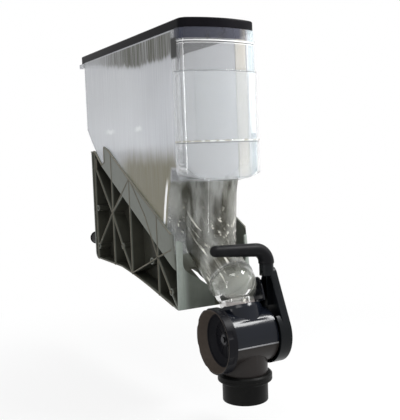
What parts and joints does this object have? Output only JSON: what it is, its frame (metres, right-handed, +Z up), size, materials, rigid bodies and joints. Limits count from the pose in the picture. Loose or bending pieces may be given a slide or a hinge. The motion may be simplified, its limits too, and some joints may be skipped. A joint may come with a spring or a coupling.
{
  "type": "gravity bulk food bin",
  "caption": "Clear bulk food bin with a sloping floor and hinged lid, held on a ribbed bracket, with a sprung lever valve and outlet tube below its ball elbow.",
  "frame": {"origin": "on the mounting plane, midway between the rear faces of the two standoffs", "axes": "+X to the right seen from the front, +Y to the back towards the rail, +Z up"},
  "size_m": [0.1634, 0.606, 0.6559],
  "materials": {
    "clear_plastic": "clear moulded plastic with satin streaked sides",
    "black_plastic": "satin black moulded plastic",
    "matte_black": "matt black moulded plastic",
    "gloss_black": "gloss black moulded plastic",
    "bracket_plastic": "dark grey moulded plastic",
    "grip_rubber": "soft black sleeve",
    "seal_rubber": "seal rubber",
    "bush_plastic": "pale bearing plastic",
    "steel": "bright steel"
  },
  "bodies": {
    "bin": {"hopper_body": "clear_plastic", "label_holder": "clear_plastic", "lid_hinge_pins": "steel", "bracket_left": "bracket_plastic", "bracket_right": "bracket_plastic", "bracket_screws": "steel", "rear_standoffs": "black_plastic", "valve_housing": "gloss_black", "collar_gasket": "seal_rubber", "axle_bush": "bush_plastic", "stop_pin": "steel", "return_spring": "steel", "outlet_nozzle": "matte_black"},
    "cover": {"lid": "black_plastic"},
    "turning_group": {"gate": "gloss_black", "axle": "steel", "end_knob": "matte_black", "lever_arm": "black_plastic", "grip_rod": "steel", "grip_sleeve": "grip_rubber", "knob_washer": "steel", "knob_screw": "steel", "lever_washer": "steel", "lever_screw": "steel"}
  },
  "joints": [
    {"name": "lever_turn", "type": "hinge", "parent": "bin", "child": "turning_group", "pos_m": [0, -0.54997, -0.1266], "axis": [1, 0, 0], "range_deg": [0, 85], "stiffness_Nm_per_rad": 0.4, "springref_deg": -57.3},
    {"name": "lid_hinge", "type": "hinge", "parent": "bin", "child": "cover", "pos_m": [0, -0.006, 0.4063], "axis": [-1, 0, 0], "range_deg": [0, 95]}
  ]
}
